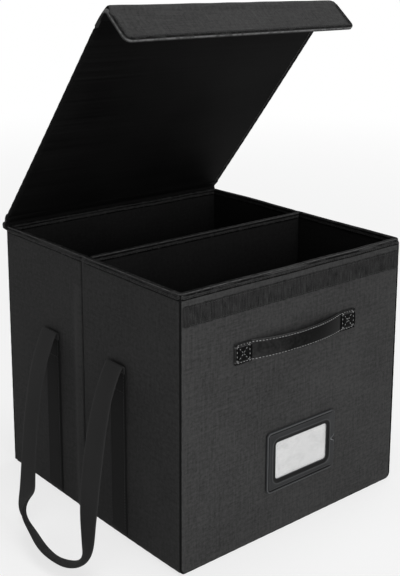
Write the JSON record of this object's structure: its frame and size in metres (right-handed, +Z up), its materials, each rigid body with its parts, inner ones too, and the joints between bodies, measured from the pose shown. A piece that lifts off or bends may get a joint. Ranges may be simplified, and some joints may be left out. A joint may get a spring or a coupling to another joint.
{
  "type": "record carrying case",
  "caption": "Cloth-covered box for records with a folding flap lid, lift-out divider, front pull strap, label holder and webbing carry loops.",
  "frame": {"origin": "middle of the underside, on the surface the case stands on", "axes": "+Z up, -Y towards the front with the label holder, +X to the right seen from the front"},
  "size_m": [0.5588, 0.3787, 0.614],
  "materials": {
    "board": "grey-brown fibreboard",
    "edge_tape": "smooth woven binding tape",
    "seam_bead": "black corded seam",
    "fastener_tape": "hook-and-loop pile",
    "leatherette": "glossy black faux leather",
    "holder_plastic": "satin dark grey moulding",
    "clear_film": "clear film",
    "card": "matt white card",
    "webbing": "ribbed woven webbing",
    "lining_cloth": "matt non-woven lining",
    "side_cloth": "coarse plain weave",
    "front_cloth": "linen-look plain weave"
  },
  "bodies": {
    "case": {"front_cover": "front_cloth", "front_board": "board", "back_cover": "front_cloth", "back_board": "board", "left_front_cover": "side_cloth", "left_front_board": "board", "left_rear_cover": "side_cloth", "left_rear_board": "board", "right_front_cover": "side_cloth", "right_front_board": "board", "right_rear_cover": "side_cloth", "right_rear_board": "board", "left_fold_strip": "side_cloth", "right_fold_strip": "side_cloth", "front_binding": "edge_tape", "back_binding": "edge_tape", "left_binding": "edge_tape", "right_binding": "edge_tape", "corner_beads": "seam_bead", "bottom_bead": "seam_bead", "bottom_cloth": "lining_cloth", "hinge_strip": "front_cloth", "loop_strip": "fastener_tape", "pull_strap": "leatherette", "label_holder": "holder_plastic", "label_window": "clear_film", "left_front_webbing": "webbing", "left_rear_webbing": "webbing", "right_front_webbing": "webbing", "right_rear_webbing": "webbing"},
    "base": {"base_cover": "lining_cloth", "base_board": "board"},
    "divider": {"divider_cover": "lining_cloth", "divider_board": "board", "divider_binding": "edge_tape"},
    "lid": {"hinge_fold": "front_cloth", "lid_cover": "front_cloth", "lid_board": "board", "lid_beads": "seam_bead"},
    "flap": {"flap_fold": "front_cloth", "flap_cover": "front_cloth", "flap_board": "board", "flap_bead": "edge_tape", "hook_strip": "fastener_tape"},
    "card": {"label_card": "card"},
    "left_loop": {"left_carry_loop": "webbing"},
    "right_loop": {"right_carry_loop": "webbing"}
  },
  "joints": [
    {"name": "lid_hinge", "type": "hinge", "parent": "case", "child": "lid", "pos_m": [0, 0.183, 0.3282], "axis": [-1, 0, 0], "range_deg": [-50.5, 174.5]},
    {"name": "flap_hinge", "type": "hinge", "parent": "lid", "child": "flap", "pos_m": [0, -0.05101, 0.61208], "axis": [1, 0, 0], "range_deg": [-90, 45]},
    {"name": "left_loop_swing", "type": "hinge", "parent": "case", "child": "left_loop", "pos_m": [-0.1783, 0.004, 0.2129], "axis": [0, 1, 0], "range_deg": [0, 150]},
    {"name": "right_loop_swing", "type": "hinge", "parent": "case", "child": "right_loop", "pos_m": [0.1783, 0.004, 0.2129], "axis": [0, -1, 0], "range_deg": [0, 150]},
    {"name": "base_lift", "type": "slide", "parent": "case", "child": "base", "axis": [0, 0, 1], "range_m": [0, 0.2]},
    {"name": "divider_lift", "type": "slide", "parent": "base", "child": "divider", "axis": [0, 0, 1], "range_m": [0, 0.215]},
    {"name": "card_slide", "type": "slide", "parent": "case", "child": "card", "axis": [1, 0, 0], "range_m": [0, 0.095]}
  ]
}
